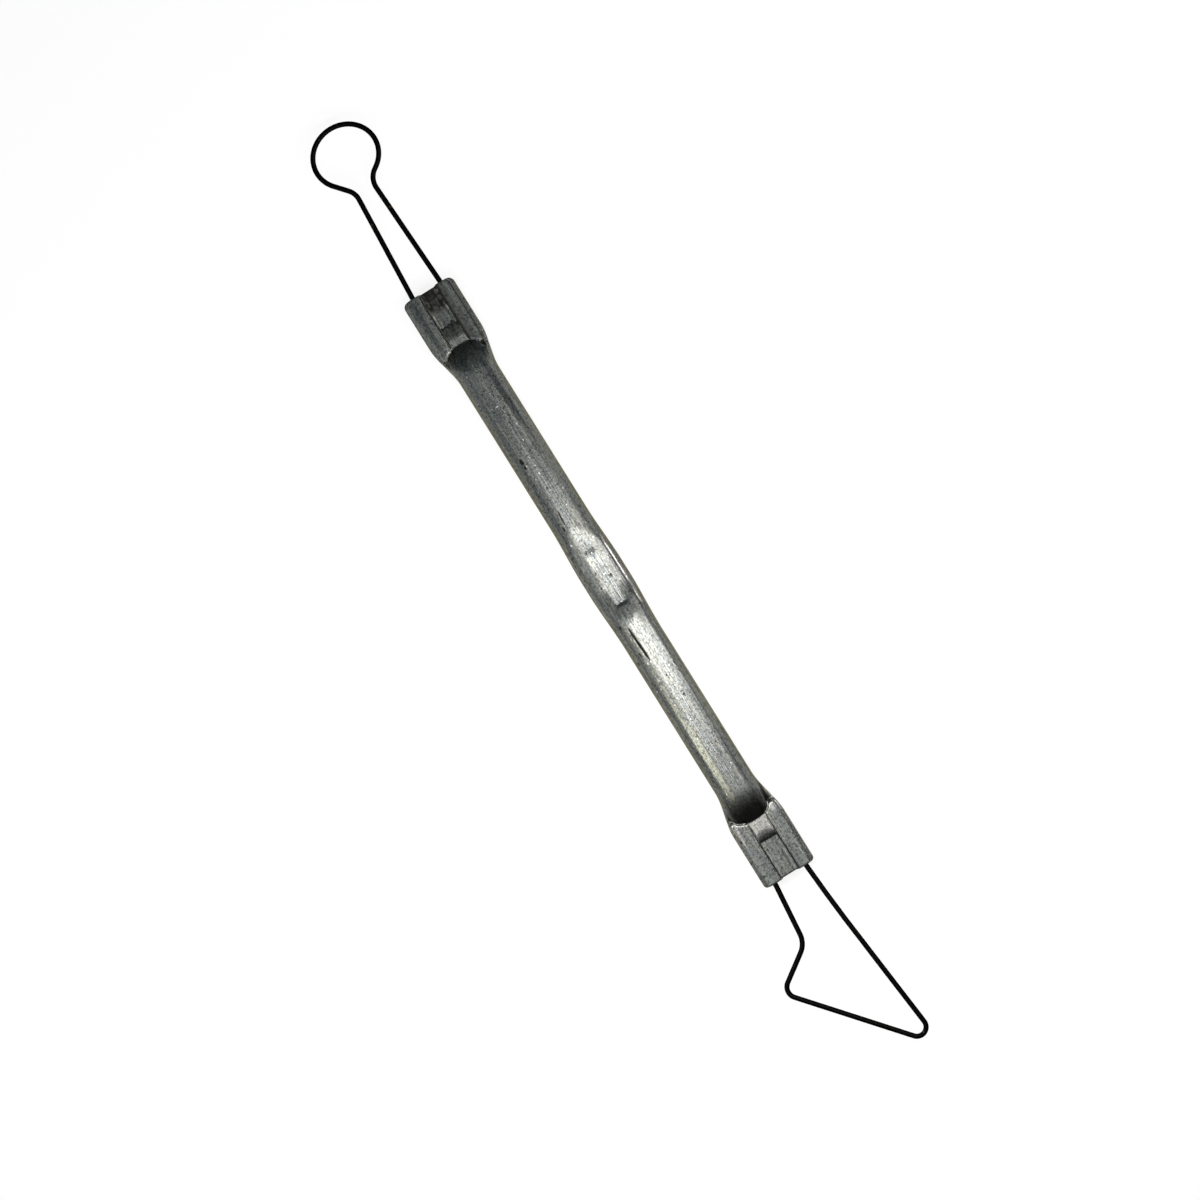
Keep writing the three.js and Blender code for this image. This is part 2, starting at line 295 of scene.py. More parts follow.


# The fine marks of the press, which both ends share: how sharp and how ragged its edges are, and
# how far dirt, painted shade, rubbed metal and painted highlights reach in the valley, on the
# ridges and in the scoop.
shoulder_before, shoulder_after = 0.12 * mm, 0.06 * mm
dark_line_inset, dark_line_width = 0.1 * mm, 0.16 * mm
plateau_dark_run = (0.9 * mm, 2.0 * mm)
ragged_grain = 0.7 * mm
floor_fade = 2.6 * mm
streak_length, streak_grain = 2.6 * mm, 0.7 * mm
valley_blur = 0.1 * mm
groove_width, groove_grain = 0.13 * mm, 0.8 * mm
worn_grain = 1.4 * mm
slope_near, slope_far = 2.45 * mm, 2.85 * mm
slope_fade = (3.2 * mm, 4.1 * mm)
fold_inset, fold_width = 0.36 * mm, 0.15 * mm
wall_inset, wall_width = 0.1 * mm, 0.2 * mm
scoop_inset_near, scoop_inset_far = 0.9 * mm, 0.4 * mm
scoop_blur = 0.8 * mm


def valley_marks(end, distance, side, y):
    """In the valley: the rise of its floor, its dirt and painted shade, and its rubbed metal and
    painted highlight.
    """
    edge = end["shoulder"] + end["ragged"] * flaw(y, 0, ragged_grain, seed=end["outward"])
    run = end["shoulder_run"] * math.sqrt(max(1 - (side / (1.1 * valley_side)) ** 2, 0.08))
    fall = clamp((edge + run - distance) / run)
    sharp = smooth(distance, edge - shoulder_before, edge + shoulder_after)
    rise = shoulder_height * sharp * (1 - 0.7 * fall**2)
    # The shoulder's slope and the line at its foot get painted shade, where they turn from the
    # lights.
    painted_slope_shade = sharp * (0.2 + 0.8 * fall**0.8) * (fall > 0)
    under_shoulder = bell(distance - edge + dark_line_inset, dark_line_width)
    streak = 0.5 + flaw(distance, 6 * y, streak_length, seed=3)
    streak += flaw(distance, y, streak_grain, seed=5)
    dirty_floor = 1 - smooth(distance, end["clean_floor"], end["clean_floor"] + floor_fade)
    floor_grime = end["floor_grime"] * ((1 - sharp) * dirty_floor)
    floor_grime += 0.35 * (1 - sharp) * max(streak, 0)
    dirt_and_shade = max(end["painted_slope_shade"] * painted_slope_shade, under_shoulder, floor_grime)
    to_crease = end["crease"] - distance
    # By the crease the plateau is rubbed bright, with a painted highlight over it.
    bright_near_crease = 1 - smooth(to_crease, 0.7 * end["bright_run"], end["bright_run"])
    rub_and_highlight = end["plateau_rub_and_highlight"] * bright_near_crease * (1 - fall) * smooth(to_crease, -0.1 * mm, 0.15 * mm)
    # The round end's plateau is darker beyond its shoulder.
    if end is round_end:
        dirt_and_shade = max(dirt_and_shade, 0.55 * sharp * smooth(to_crease, *plateau_dark_run))
    return rise, dirt_and_shade, rub_and_highlight


def ridge_marks(end, distance, side, x, y, past_crease):
    """Beside the valley: the near ridge's darkening, in its groove, on its inner slope and in its
    fold, and a painted highlight on the far ridge's wall."""
    if y <= 0:
        # The far ridge's wall gets a painted highlight.
        wall = bell(side - valley_side - wall_inset, wall_width)
        return 0.0, 0.3 * wall * (1 - past_crease)
    broken = clamp(0.55 + 1.4 * flaw(x, y, groove_grain, seed=11))
    reach = distance - end["crease"]
    groove = bell(side - valley_side, groove_width) * (1 - smooth(reach, -0.4 * mm, 0.2 * mm))
    on_plateau = smooth(distance, end["shoulder"], end["shoulder"] + 0.4 * mm)
    in_groove = mix(end["groove_grime"], 0.25, on_plateau) * groove * broken
    slope = mix(0.78, 0.5, smooth(side, slope_near, slope_far))
    slope *= smooth(side, valley_side - valley_blur, valley_side + valley_blur)
    slope *= 1 - smooth(side, *slope_fade)
    fold = bell(side - ridge_side + fold_inset, fold_width)
    return max(in_groove, end["near_ridge_darkening"] * max(slope, fold) * (1 - past_crease)), 0.0


def pocket_marks(end, inwards, y):
    """At the pockets by the ridges' noses: how deep they are and their painted shade."""
    depth, dirt_and_shade = 0.0, 0.0
    for deep, thin, half_width, deepest, darkness in end["pockets"]:
        share, away = along_mark(inwards, y, deep, thin)
        here = bell(away, half_width * (1 - 0.8 * share)) * (1 - 0.5 * share)
        depth += deepest * mm * here
        # Each pocket paints shade, in its fold or over a nose's bright edge.
        dirt_and_shade = max(dirt_and_shade, clamp(1.5 * here) * darkness)
    return depth, dirt_and_shade


def scoop_darkening(end, reach, side, near):
    """The dirt and painted shade in the scoop, which thin out along the tube and towards the scoop's
    sides.
    """
    length = end["scoop_shade_length"]
    edge = nose_side - (scoop_inset_near if near else scoop_inset_far)
    inside = smooth(reach, -0.15 * mm, 0.1 * mm) * (1 - smooth(reach, 0.15 * length, length))
    return end["scoop_dirt_and_shade"] * inside * (1 - smooth(side, edge - scoop_blur, edge + scoop_blur))


def far_wall_shift(side, reach):
    """How far the valley's far wall stands nearer the middle than its near one."""
    shift = smooth(side, 0.5 * valley_side, valley_side)
    shift *= 1 - smooth(side, valley_side + 0.5 * mm, valley_side + 1.6 * mm)
    return far_wall_pull * shift * (1 - smooth(reach, -0.3 * mm, 2 * mm))


def flatten(end, distance, tube_point, crimp_point, is_outer):
    """Moves a point of the round tube to where the press leaves it near an end. Returns its place,
    its dirt and painted shade, and its rubbed metal and painted highlights."""
    (tube_y, tube_z), (crimp_y, crimp_z) = tube_point, crimp_point
    side, height = abs(crimp_y), abs(crimp_z)
    near, on_top = crimp_y > 0, is_outer and crimp_z > 0
    reach = distance - end["crease"]
    drop = clamp(1 - reach / scoop_length)
    carried = drop if reach > 0 else smooth(reach, -crease_bow_run, 0)
    inwards = distance + crease_bow * carried * clamp(side / nose_side) ** 3
    if on_top and crimp_y < 0:
        crimp_y += far_wall_shift(side, reach)
    flare = end["near_flare"] if near else end["far_flare"]
    y = mix(tube_y, crimp_y, 1 - smooth(inwards - crimp_length, *flare))
    in_valley = 1 - smooth(side, valley_side - valley_blur, valley_side + valley_blur)
    inwards += in_valley * mouth_recess * (1 - smooth(distance, 0, recess_run))
    x = end["mouth"] - end["outward"] * inwards
    dirt_and_shade, rub_and_highlight = 0.0, 0.0
    if is_outer:
        corner = end["corner_radius"]
        at_side = smooth(side, crimp_side - 2 * corner, crimp_side)
        y -= math.copysign(at_side * round_off(distance, corner), y)
        height -= round_off(distance, mouth_edge_radius)
        past_crease = smooth(reach, -end["nose_round"], 0.55 * end["nose_round"])
        height -= nose_dip * (1 - in_valley) * past_crease * (1 - smooth(reach, *nose_dip_run))
        # The scoop gets dirt and painted shade.
        dirt_and_shade = scoop_darkening(end, reach, side, near)
    if on_top:
        rise, valley_dirt_and_shade, valley_rub_and_highlight = valley_marks(end, distance, side, crimp_y)
        pocket_depth, pocket_shade = pocket_marks(end, inwards, y)
        ridge_darkening, ridge_rub_and_highlight = ridge_marks(end, distance, side, x, y, past_crease)
        height += in_valley * rise - pocket_depth
        wear_and_glint = end["ridge_rub_and_highlight"] * clamp(0.5 + flaw(distance, 3 * crimp_y, worn_grain, seed=17))
        dirt_and_shade = max(dirt_and_shade, in_valley * valley_dirt_and_shade, pocket_shade, ridge_darkening)
        rub_and_highlight = max(mix(wear_and_glint * (1 - past_crease), valley_rub_and_highlight, in_valley), ridge_rub_and_highlight)
    z = mix(tube_z, math.copysign(height, crimp_z), drop**scoop_steepness)
    return (x, y, z), dirt_and_shade, rub_and_highlight


def die_height(y, strength, inset):
    """How high the die leaves a skin of the tube, for the strength of its blow at a place."""
    crown = panel_crown - math.sqrt(panel_crown**2 - y**2)
    fall = edge_fall * strength * smooth(y if y > 0 else -0.9 * y, edge_start, die_side)
    return tube_radius - inset - panel_drop * strength - crown - fall


def in_field(x, y):
    """How far a place lies in the plain field in the middle of the panel."""
    along = smooth(x, field_start - field_start_blur, field_start)
    along *= 1 - smooth(x, field_end, field_end + field_end_blur)
    across = smooth(y, field_low - field_side_blur, field_low)
    return along * across * (1 - smooth(y, field_high, field_high + field_side_blur))


def die_marks(x, y):
    """What the die's long edges leave: the burr's height; painted shade at its foot, for notches at
    its ends and on a patch beside it; and a painted highlight along the burr."""
    across = abs(y) - die_side
    within = 1 - smooth(abs(x), die_half_length - die_end_blur, die_half_length)
    line = within * bell(across, burr_width) * (1 if y > 0 else 0.35)
    foot = within * bell(across + 2 * burr_width, burr_width)
    notch = bell(abs(x) - die_half_length, notch_length) * bell(across + notch_inset, notch_width)
    painted_shade_patch = bell(x - panel_painted_shade[0], panel_painted_shade_size[0])
    painted_shade_patch *= bell(y - panel_painted_shade[1], panel_painted_shade_size[1])
    # Painted shade: the burr's foot, the end notches and the patch that dims the near ramp.
    dirt_and_shade = max(0.55 * foot * (y > 0), 0.9 * notch * (y > 0 or x < 0), 0.5 * painted_shade_patch)
    # The burr's line is also painted as a highlight.
    return burr_height * (line - 0.5 * foot), dirt_and_shade, line


def strike(x, tube_point, inset):
    """Moves a point of the round tube to where the die and the anvil leave it. Returns its place,
    its painted shade and its painted highlight."""
    tube_y, tube_z = tube_point
    strength = 1 - smooth(abs(x), panel_flat, panel_left if x < 0 else panel_right)
    spread = mix(1, panel_spread, 1 - smooth(abs(x), panel_flat, bulge_half_length))
    y = tube_y * spread
    if tube_z <= 0:
        flat_share = anvil_half_width / (spread * tube_radius)
        squeeze = mix(1, 1 / math.sqrt(1 - flat_share**2), strength)
        return (x, y, max(tube_z * squeeze, inset - tube_radius)), 0.0, 0.0
    softness = 0.02 * mm + panel_softness * smooth(strength, 0, 0.5)
    z = soft_min(tube_z, die_height(y, strength, inset), softness)
    if inset > 0:
        return (x, y, z), 0.0, 0.0
    follow = field_follow[0] * smooth(-x, 0, -field_start)
    follow += field_follow[1] * smooth(x, 0, field_end)
    field_height = die_height(y, mix(1, strength, follow), inset) - field_depth
    rise, dirt_and_shade, rub_and_highlight = die_marks(x, y)
    return (x, y, mix(z, field_height, in_field(x, y)) + rise), dirt_and_shade, rub_and_highlight


# Knocks on the top of the tube, and scuffs, partly bared metal and partly painted highlights along
# edges and noses: where each starts and ends, along and across the handle, with its half width and,
# for a knock, its depth.
knocks = [
    ((9.9, -1.04), (17.8, -0.66), 0.27, 0.16),
    ((10.2, -0.86), (11.9, -0.84), 0.1, 0.04),
    ((-15.5, -0.52), (-13.1, -0.78), 0.15, 0.05),
    ((-12.5, -1.45), (-11.2, -1.4), 0.2, 0.05),
    ((-27.3, -1.55), (-25.8, -1.42), 0.4, 0.05),
    ((-25.7, -1.46), (-24.9, -1.44), 0.28, 0.04),
    ((15.0, -1.75), (16.1, -1.7), 0.18, 0.05),
    ((9.0, -2.35), (9.9, -2.3), 0.22, 0.05),
]
scuffs_and_highlights = [
    ((48.7, 4.45), (51.4, 4.95), 0.14),
    ((51.7, 3.7), (53.0, 4.0), 0.4),
    ((52.4, -3.9), (56.0, -4.2), 0.25),
    ((52.6, -2.2), (51.3, -3.2), 0.13),
    ((-62.9, 1.9), (-58.3, 1.84), 0.12),
    ((-59.4, -1.3), (-56.0, -1.42), 0.16),
    ((-53.9, -1.98), (-53.2, -2.0), 0.2),
    ((-53.0, -2.05), (-51.0, -2.6), 0.09),
]
scuff_grain = 0.5 * mm


def handling_marks(x, y):
    """The knocks and scuffs at a place on top of the handle: depth, dirt, and rubbed metal with
    painted highlights.
    """
    depth, dirt_and_shade, rub_and_highlight = 0.0, 0.0, 0.0
    for start, end, half_width, deepest in knocks:
        share, away = along_mark(x, y, start, end)
        taper = clamp(6 * share * (1 - share), 0.05, 1)
        here = clamp(1 - (away / (half_width * taper)) ** 2)
        depth = max(depth, here * taper * deepest * mm)
        dirt_and_shade = max(dirt_and_shade, here**0.5 * (0.5 + 0.5 * taper))
    # The scuffs are partly bared metal and partly painted highlights.
    for start, end, half_width in scuffs_and_highlights:
        share, away = along_mark(x, y, start, end)
        rub_and_highlight = max(rub_and_highlight, bell(away, half_width) * clamp(0.9 + flaw(x, y, scuff_grain, seed=23)))
    return depth, dirt_and_shade, rub_and_highlight


# The slight waves that drawing leaves in the outer skin.
wave_length, wave_width = 14 * mm, 3 * mm
wave_height = 0.005 * mm


def press_skin(bm, rings, places, inset, outlines):
    """Presses a drawn tube into one skin of the handle, and paints its dirt and painted shade and
    its rubbed metal and painted highlights. The outlines are its flattened shapes at the round
    loop's end and at the three-cornered one's."""
    dirt_and_shade_layer = bm.verts.layers.float["dirt_and_shade"]
    rub_and_highlight_layer = bm.verts.layers.float["rub_and_highlight"]
    round_points, angled_points = [facet_points(outline) for outline in outlines]
    radius = tube_radius - inset
    for (verts, _), place in zip(rings, places):
        end, points = (round_end, round_points) if place < 0 else (angled_end, angled_points)
        distance = end["outward"] * (end["mouth"] - place)
        for vert in verts:
            facet = round(math.atan2(vert.co.z, vert.co.y) / facet_angle) % tube_facets
            angle = facet * facet_angle
            tube_point = (radius * math.cos(angle), radius * math.sin(angle))
            if distance < crimp_length + flare_length:
                made = flatten(end, distance, tube_point, points[facet], inset == 0)
            else:
                made = strike(place, tube_point, inset)
            (x, y, z), dirt_and_shade, rub_and_highlight = made
            if inset == 0:
                wave = noise.noise(Vector((x / wave_length, y / wave_width, z / wave_width)))
                z -= wave_height * (1 + wave) * math.sin(angle)
                if z > 0:
                    depth, marked, scuff_and_highlight = handling_marks(x, y)
                    z -= depth
                    dirt_and_shade, rub_and_highlight = max(dirt_and_shade, marked), max(rub_and_highlight, scuff_and_highlight)
            vert.co = (x, y, z + axis_height)
            vert[dirt_and_shade_layer] = clamp(dirt_and_shade)
            vert[rub_and_highlight_layer] = clamp(rub_and_highlight)


def finish_piece(bm, name, material, node):
    """Makes a mesh into a smooth piece of the tool that stands for its CAD node."""
    bmesh.ops.recalc_face_normals(bm, faces=bm.faces)
    for face in bm.faces:
        face.smooth = True
    mesh = bpy.data.meshes.new(name)
    bm.to_mesh(mesh)
    bm.free()
    mesh.materials.append(material)
    piece = bpy.data.objects.new(name, mesh)
    bpy.context.scene.collection.objects.link(piece)
    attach(piece, "root")
    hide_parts(node)


def colour(hex_code):
    """An sRGB hex value as the linear colour that a shader works in."""
    parts = [int(hex_code[i : i + 2], 16) / 255 for i in (1, 3, 5)]
    linear = [p / 12.92 if p <= 0.04045 else ((p + 0.055) / 1.055) ** 2.4 for p in parts]
    return (*linear, 1)


def add(tree, kind, inputs, output=0, **settings):
    """Adds a shader node with its settings, and with its inputs set to values or linked to the
    sockets given. Returns one of its outputs, if it has any."""
    made = tree.nodes.new(f"ShaderNode{kind}")
    for name, value in settings.items():
        setattr(made, name, value)
    for name, value in inputs.items():
        if isinstance(value, bpy.types.NodeSocket):
            tree.links.new(value, made.inputs[name])
        else:
            made.inputs[name].default_value = value
    return made.outputs[output] if made.outputs else None


def new_material(name):
    """An empty material and its node tree."""
    material = bpy.data.materials.new(name)
    material.use_nodes = True
    material.node_tree.nodes.clear()
    return material, material.node_tree


# Aged drawn aluminium, cold pressed. Drawing leaves fine lines along the tube, handling dulls them
# with a grey oxide, and clay and metal dust turn the hollows almost black, with painted shade in the
# scoops, on the steps, in the folds and at the burr's foot. Small pits hold dirt, small bare specks
# show as painted glints on the top, and the metal shows bright and grainy where something has
# rubbed it and where highlights are painted on edges, noses and the burr.
line_length, line_width = 30.0 * mm, 0.2 * mm
scratch_length, scratch_width = 9.0 * mm, 0.2 * mm
grain_size = 0.44 * mm
stain_length, stain_width = 14.0 * mm, 1.4 * mm
hue_size = 0.7 * mm
pit_spacing = 1.1 * mm
blot_spacing = 3.0 * mm
speck_spacing = 0.55 * mm
worn_and_lit_from, worn_and_lit_to = 6.2 * mm, 7.2 * mm


def drawn_aluminium():
    """The handle's metal. A Mix node has sockets for each kind of data: its inputs 6 and 7 are
    colours, and its output 2 is the mixed one."""
    material, tree = new_material("aged_drawn_aluminium")
    place = add(tree, "TexCoord", {}, output="Object")

    def patches(length, width, detail=3.0, roughness=0.6):
        """Noise in patches of a length along the handle and a width across it."""
        steps = add(tree, "Mapping", {
            "Vector": place, "Scale": (1 / length, 1 / width, 1 / width),
        })
        return add(tree, "TexNoise", {
            "Vector": steps, "Scale": 1.0, "Detail": detail, "Roughness": roughness,
        })

    def spots(spacing, stretch, largest, rare):
        """Spots of many sizes. Only the share above rare of all the places has one."""
        steps = add(tree, "Mapping", {
            "Vector": place, "Scale": (1 / (spacing * stretch), 1 / spacing, 1 / spacing),
        })
        cells = add(tree, "TexVoronoi", {"Vector": steps, "Scale": 1.0}).node.outputs
        lot = add(tree, "SeparateColor", {"Color": cells["Color"]})
        size = add(tree, "MapRange", {"Value": lot, "From Min": rare, "To Max": largest})
        inside = add(tree, "Math", {0: size, 1: cells["Distance"]}, operation="SUBTRACT")
        return add(tree, "MapRange", {"Value": inside, "From Max": 0.06})

    lines = patches(line_length, line_width)
    scratches = patches(scratch_length, scratch_width)
    grain = patches(grain_size, grain_size, detail=2.0, roughness=0.8)
    stains = patches(stain_length, stain_width, detail=2.0)
    hues = patches(hue_size, hue_size / 2, detail=2.0)
    pits = spots(pit_spacing, 1.4, 0.26, 0.5)
    blots = spots(blot_spacing, 2.0, 0.12, 0.5)
    specks_and_glints = spots(speck_spacing, 1.4, 0.28, 0.62)
    dirt_and_shade = add(tree, "Attribute", {}, output="Fac", attribute_name="dirt_and_shade")
    rub_and_highlight = add(tree, "Attribute", {}, output="Fac", attribute_name="rub_and_highlight")

    # The dull metal: paler lines and scratches and darker grains over its grey, then its hues.
    metal = colour("#6d6e6e")
    for pattern, low, high, most, tone in (
        (lines, 0.38, 0.62, 1.0, "#898a8a"),
        (scratches, 0.52, 0.68, 0.55, "#a6a7a5"),
        (grain, 0.48, 0.64, 0.9, "#444443"),
    ):
        share = add(tree, "MapRange", {
            "Value": pattern, "From Min": low, "From Max": high, "To Max": most,
        })
        metal = add(tree, "Mix", {0: share, 6: metal, 7: colour(tone)}, output=2, data_type="RGBA")
    for pattern, low, high, first, second in (
        (stains, 0.35, 0.65, "#dcdfe2", "#fffefa"),
        (hues, 0.4, 0.6, "#f4f4ea", "#edf3f4"),
    ):
        share = add(tree, "MapRange", {"Value": pattern, "From Min": low, "From Max": high})
        hue = add(tree, "Mix", {
            0: share, 6: colour(first), 7: colour(second),
        }, output=2, data_type="RGBA")
        metal = add(tree, "Mix", {
            0: 1.0, 6: metal, 7: hue,
        }, output=2, data_type="RGBA", blend_type="MULTIPLY")

    # The rubbed metal and the painted highlights, bright between their grains, and the bare specks
    # on the top, painted as glints there.
    grainy = add(tree, "MapRange", {
        "Value": grain, "From Min": 0.38, "From Max": 0.6, "To Min": 1.0, "To Max": 0.45,
    })
    # Bare specks show only on the top, where they are painted as glints.
    up = add(tree, "SeparateXYZ", {"Vector": place}, output="Z")
    worn_and_lit_top = add(tree, "MapRange", {
        "Value": up, "From Min": worn_and_lit_from, "From Max": worn_and_lit_to, "To Max": 0.9,
    })
    for pattern, strength, tone in ((rub_and_highlight, grainy, "#b6b2ae"), (specks_and_glints, worn_and_lit_top, "#cfccd0")):
        share = add(tree, "Math", {0: pattern, 1: strength}, operation="MULTIPLY")
        metal = add(tree, "Mix", {0: share, 6: metal, 7: colour(tone)}, output=2, data_type="RGBA")

    # Dirt and painted shade from the mesh, thicker along some scratches, and dirt in the pits and
    # blots.
    uneven = add(tree, "MapRange", {
        "Value": scratches, "From Min": 0.3, "From Max": 0.55, "To Min": 0.85, "To Max": 1.1,
    })
    darkness = add(tree, "Math", {0: dirt_and_shade, 1: uneven}, operation="MULTIPLY")
    for pattern, most in ((pits, 0.8), (blots, 0.75)):
        share = add(tree, "Math", {0: pattern, 1: most}, operation="MULTIPLY")
        darkness = add(tree, "Math", {0: darkness, 1: share}, operation="MAXIMUM")
    darkness = add(tree, "Math", {0: darkness, 1: 1.0}, operation="MINIMUM")
    surface_colour = add(tree, "Mix", {
        0: darkness, 6: metal, 7: colour("#151414"),
    }, output=2, data_type="RGBA")

    rub_and_highlight_grain = add(tree, "Math", {0: rub_and_highlight, 1: grain}, operation="MULTIPLY")
    height = 0.0
    for pattern, share in (
        (lines, 0.28), (scratches, 0.24), (grain, 0.09), (pits, -0.6), (rub_and_highlight_grain, 0.35),
    ):
        height = add(tree, "Math", {0: pattern, 1: share, 2: height}, operation="MULTIPLY_ADD")
    relief = add(tree, "Bump", {"Height": height, "Strength": 0.5, "Distance": 0.03 * mm})

    dullness = add(tree, "MapRange", {
        "Value": stains, "From Min": 0.3, "From Max": 0.7, "To Min": 0.22, "To Max": 0.3,
    })
    surface = add(tree, "BsdfPrincipled", {
        "Base Color": surface_colour,
        "Metallic": add(tree, "MapRange", {
            "Value": darkness, "From Min": 0.4, "To Min": 1.0, "To Max": 0.75,
        }),
        "Roughness": add(tree, "Math", {0: darkness, 1: 0.25, 2: dullness}, operation="MULTIPLY_ADD"),
        "Specular Tint": colour("#ccc5ae"),
        "Normal": relief,
    })
    add(tree, "OutputMaterial", {"Surface": surface})
    return material


# The rings of the skins lie closest where the press and the die have left fine shapes.
mouth_zone = 0.9 * mm
flare_start = crimp_length - 2.4 * mm
crimp_zone = crimp_length + 2.2 * mm
end_zone = crimp_length + flare_length + 0.3 * mm
panel_zone = panel_left + 0.3 * mm
knock_zone_end = 18.2 * mm
outer_places = places_along(round_mouth, [
    (round_mouth + mouth_zone, 0.09 * mm),
    (round_mouth + crimp_zone, 0.15 * mm),
    (round_mouth + end_zone, 0.25 * mm),
    (-28 * mm, 1.2 * mm),
    (-24 * mm, 0.3 * mm),
    (-16 * mm, 1.2 * mm),
    (panel_zone, 0.3 * mm),
    (knock_zone_end, 0.32 * mm),
    (angled_mouth - end_zone, 1.5 * mm),
    (angled_mouth - crimp_zone, 0.25 * mm),
    (angled_mouth - mouth_zone, 0.15 * mm),
    (angled_mouth, 0.09 * mm),
])
inner_places = places_along(round_mouth, [
    (round_mouth + recess_run, 0.2 * mm),
    (round_mouth + flare_start, 5 * mm),
    (round_mouth + end_zone, 0.8 * mm),
    (-panel_zone, 12 * mm),
    (panel_zone, 1.6 * mm),
    (angled_mouth - end_zone, 12 * mm),
    (angled_mouth - flare_start, 0.8 * mm),
    (angled_mouth - recess_run, 5 * mm),
    (angled_mouth, 0.2 * mm),
])
outer_outlines = [flattened_outline()] * 2
bore_outlines = [channel_outline(end["leg_side"]) for end in (round_end, angled_end)]

handle_mesh = bmesh.new()
handle_mesh.verts.layers.float.new("dirt_and_shade")
handle_mesh.verts.layers.float.new("rub_and_highlight")
outer_rings = draw_tube(handle_mesh, tube_radius, outer_places)
inner_rings = draw_tube(handle_mesh, tube_radius - tube_wall, inner_places)
press_skin(handle_mesh, outer_rings, outer_places, 0, outer_outlines)
press_skin(handle_mesh, inner_rings, inner_places, tube_wall, bore_outlines)
for mouth in (0, -1):
    bmesh.ops.bridge_loops(handle_mesh, edges=outer_rings[mouth][1] + inner_rings[mouth][1])
finish_piece(
    handle_mesh, "pressed_tube_handle", drawn_aluminium(), "handle_tube"
)

# The two loops are bent from 1 mm spring wire, blackened after heat treatment. Each loop's two
# legs lie flat in the channels that the crimps close round them.
leg_end = 11.0 * mm
mouth_bend = 12.0 * mm
wire_sides = 24
bend_step = math.radians(5)
end_run_share = 0.95
shared_run_share = 0.48


def bend_points(a, b, c, radius, room):
    """Points of a bend that rounds the corner b between a and c, inside the room it has."""
    back, ahead = (a - b).normalized(), (c - b).normalized()
    half_angle = back.angle(ahead) / 2
    setback = min(radius / math.tan(half_angle), room)
    bend = setback * math.tan(half_angle)
    start = b + back * setback
    centre = b + (back + ahead).normalized() * bend / math.sin(half_angle)
    turn = math.pi - 2 * half_angle
    sense = math.copysign(1, ahead.cross(back).z)
    steps = max(math.ceil(turn / bend_step), 1)
    arm = start - centre
    return [
        centre + Matrix.Rotation(sense * turn * i / steps, 3, "Z") @ arm for i in range(steps + 1)
    ]


def bent_path(corners):
    """Straight runs through the given corners, with a bend at each inner one."""
    points = [Vector((corner[0], corner[1], 0)) for corner in corners]
    last = len(points) - 1
    path = [points[0]]
    for i in range(1, last):
        before, corner, after = points[i - 1 : i + 2]
        share_before = end_run_share if i == 1 else shared_run_share
        share_after = end_run_share if i == last - 1 else shared_run_share
        room = min((corner - before).length * share_before, (corner - after).length * share_after)
        path += bend_points(before, corner, after, corners[i][2], room)
    return path + [points[last]]


def sweep_wire(path):
    """Round wire along a flat path, drawn ring by ring and closed at both ends."""
    bm = bmesh.new()
    steps = [b - a for a, b in zip(path, path[1:])]
    headings = [math.atan2(step.y, step.x) for step in steps]
    headings.append(headings[-1])
    upright = Matrix.Rotation(headings[0], 4, "Z") @ Matrix.Rotation(math.pi / 2, 4, "Y")
    made = bmesh.ops.create_circle(
        bm, cap_ends=True, radius=wire_radius, segments=wire_sides,
        matrix=Matrix.Translation(path[0]) @ upright,
    )
    verts = made["verts"]
    edges = list({edge for vert in verts for edge in vert.link_edges})
    heading = headings[0]
    for i, step in enumerate(steps):
        verts, edges = next_ring(bm, edges)
        bmesh.ops.translate(bm, verts=verts, vec=step)
        turn = math.remainder(headings[i + 1] - headings[i], 2 * math.pi)
        across = headings[i] + turn / 2
        bmesh.ops.rotate(
            bm, verts=verts, cent=path[i + 1], matrix=Matrix.Rotation(across - heading, 3, "Z")
        )
        heading = across
    bmesh.ops.contextual_create(bm, geom=edges)
    return bm


# Black oxide on spring steel: a thin dark skin over a smooth drawn wire. It is almost black with a
# soft sheen, and small brownish spots along it show worn steel and are painted glints.
wear_and_glint_size = 1.3 * mm
skin_grain = 0.25 * mm


def blackened_steel():
    material, tree = new_material("blackened_spring_steel")
    place = add(tree, "TexCoord", {}, output="Object")
    patches = add(tree, "TexNoise", {
        "Vector": place, "Scale": 1 / wear_and_glint_size, "Detail": 3.0, "Roughness": 0.6,
    })
    # Brownish worn spots, which also stand in as painted glints.
    wear_and_glint = add(tree, "MapRange", {"Value": patches, "From Min": 0.68, "From Max": 0.76})
    tone = add(tree, "Mix", {
        0: wear_and_glint, 6: colour("#0d0c0c"), 7: colour("#66503f"),
    }, output=2, data_type="RGBA")
    fine = add(tree, "TexNoise", {"Vector": place, "Scale": 1 / skin_grain, "Detail": 2.0})
    dullness = add(tree, "MapRange", {
        "Value": fine, "From Min": 0.3, "From Max": 0.7, "To Min": 0.3, "To Max": 0.45,
    })
    relief = add(tree, "Bump", {"Height": fine, "Strength": 0.3, "Distance": 0.01 * mm})
    surface = add(tree, "BsdfPrincipled", {
        "Base Color": tone, "Metallic": 1.0, "Roughness": dullness, "Normal": relief,
        "Specular Tint": colour("#404040"),
    })
    add(tree, "OutputMaterial", {"Surface": surface})
    return material


wire_finish = blackened_steel()

